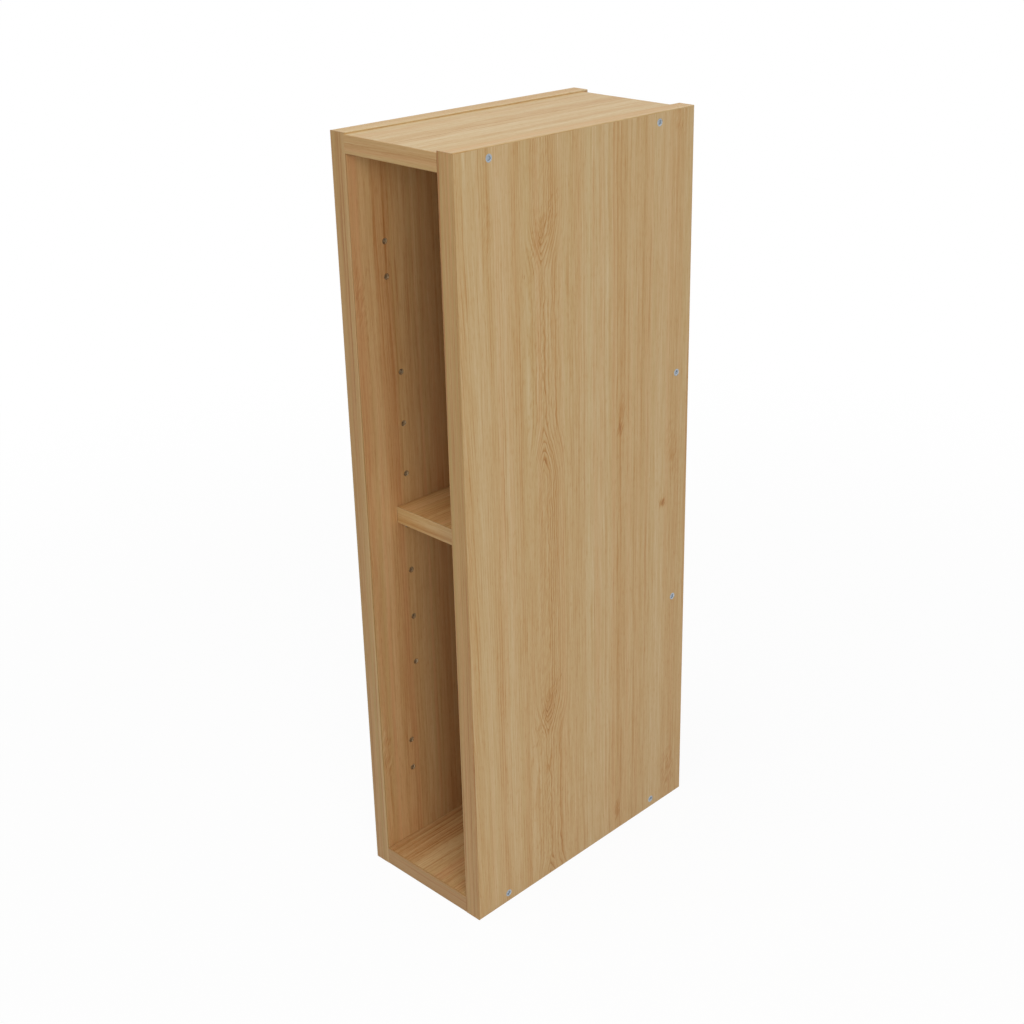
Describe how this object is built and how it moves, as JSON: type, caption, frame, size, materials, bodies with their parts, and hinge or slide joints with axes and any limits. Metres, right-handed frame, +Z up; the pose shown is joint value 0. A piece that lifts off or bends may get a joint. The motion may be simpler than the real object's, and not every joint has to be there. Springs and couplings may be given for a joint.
{
  "type": "kitchen wall unit",
  "caption": "Narrow open-front kitchen wall unit in light oak, with a loose shelf on pins, drilled sides, flush connector screws and adjustable hooks for a wall rail.",
  "frame": {"origin": "middle of the underside, midway between the sides and midway from the front edges to the wall", "axes": "+Z up; the open front faces -Y and the wall is on the +Y side; +X is the viewer's right from the front"},
  "size_m": [0.15, 0.3, 0.735],
  "materials": {
    "oak_melamine": "light oak melamine film on chipboard, fine straight grain, low sheen",
    "oak_edging": "oak print edging strip, fine straight grain, satin",
    "zinc_screws": "blue zinc plate, satin",
    "zinc_sheet": "zinc plated sheet steel, satin",
    "nickel_steel": "nickel plate, bright",
    "beech": "bare beech, fluted dowel stock",
    "white_plastic": "moulded, fine satin texture"
  },
  "bodies": {
    "cabinet": {"left_side_board": "oak_melamine", "right_side_board": "oak_melamine", "top_board": "oak_melamine", "bottom_board": "oak_melamine", "back_board": "oak_melamine", "left_side_front_edging": "oak_edging", "right_side_front_edging": "oak_edging", "left_side_top_edging": "oak_edging", "right_side_top_edging": "oak_edging", "left_side_bottom_edging": "oak_edging", "right_side_bottom_edging": "oak_edging", "top_front_edging": "oak_edging", "bottom_front_edging": "oak_edging", "left_corner_screws": "zinc_screws", "right_corner_screws": "zinc_screws", "left_back_screws": "zinc_screws", "right_back_screws": "zinc_screws", "left_hanger_fixing_screws": "zinc_screws", "right_hanger_fixing_screws": "zinc_screws", "left_front_shelf_pin": "nickel_steel", "left_rear_shelf_pin": "nickel_steel", "right_front_shelf_pin": "nickel_steel", "right_rear_shelf_pin": "nickel_steel", "top_dowels": "beech", "bottom_dowels": "beech", "left_hanger_housing": "white_plastic", "right_hanger_housing": "white_plastic", "left_hanger_cover": "white_plastic", "right_hanger_cover": "white_plastic"},
    "shelf": {"shelf": "oak_melamine", "shelf_front_edging": "oak_edging"},
    "left_carriage": {"left_hanger_carriage": "zinc_sheet", "left_hook_pivot_pin": "zinc_sheet"},
    "left_hook": {"left_hook": "zinc_sheet"},
    "left_depth_screw": {"left_depth_screw": "zinc_screws"},
    "left_height_screw": {"left_height_screw": "zinc_screws"},
    "right_carriage": {"right_hanger_carriage": "zinc_sheet", "right_hook_pivot_pin": "zinc_sheet"},
    "right_hook": {"right_hook": "zinc_sheet"},
    "right_depth_screw": {"right_depth_screw": "zinc_screws"},
    "right_height_screw": {"right_height_screw": "zinc_screws"}
  },
  "joints": [
    {"name": "shelf_slide", "type": "slide", "parent": "cabinet", "child": "shelf", "axis": [0, -1, 0], "range_m": [0, 0.28]},
    {"name": "left_depth_screw_turn", "type": "hinge", "parent": "cabinet", "child": "left_depth_screw", "pos_m": [-0.048, 0.064, 0.676], "axis": [0, 1, 0], "range_deg": [-900, 720]},
    {"name": "left_carriage_slide", "type": "slide", "parent": "cabinet", "child": "left_carriage", "axis": [0, 1, 0], "range_m": [-0.004, 0.005]},
    {"name": "left_height_screw_turn", "type": "hinge", "parent": "left_carriage", "child": "left_height_screw", "pos_m": [-0.048, 0.076, 0.696], "axis": [0, 1, 0], "range_deg": [-616, 616]},
    {"name": "left_hook_tilt", "type": "hinge", "parent": "left_carriage", "child": "left_hook", "pos_m": [-0.048, 0.1, 0.668], "axis": [1, 0, 0], "range_deg": [-7, 7]},
    {"name": "right_depth_screw_turn", "type": "hinge", "parent": "cabinet", "child": "right_depth_screw", "pos_m": [0.048, 0.064, 0.676], "axis": [0, 1, 0], "range_deg": [-900, 720]},
    {"name": "right_carriage_slide", "type": "slide", "parent": "cabinet", "child": "right_carriage", "axis": [0, 1, 0], "range_m": [-0.004, 0.005]},
    {"name": "right_height_screw_turn", "type": "hinge", "parent": "right_carriage", "child": "right_height_screw", "pos_m": [0.048, 0.076, 0.696], "axis": [0, 1, 0], "range_deg": [-616, 616]},
    {"name": "right_hook_tilt", "type": "hinge", "parent": "right_carriage", "child": "right_hook", "pos_m": [0.048, 0.1, 0.668], "axis": [1, 0, 0], "range_deg": [-7, 7]}
  ],
  "couplings": [
    {"joint": "left_depth_screw_turn", "follows": "left_carriage_slide", "rad_per_m": -3141.5},
    {"joint": "left_height_screw_turn", "follows": "left_hook_tilt", "ratio": 87.96},
    {"joint": "right_depth_screw_turn", "follows": "right_carriage_slide", "rad_per_m": -3141.5},
    {"joint": "right_height_screw_turn", "follows": "right_hook_tilt", "ratio": 87.96}
  ]
}
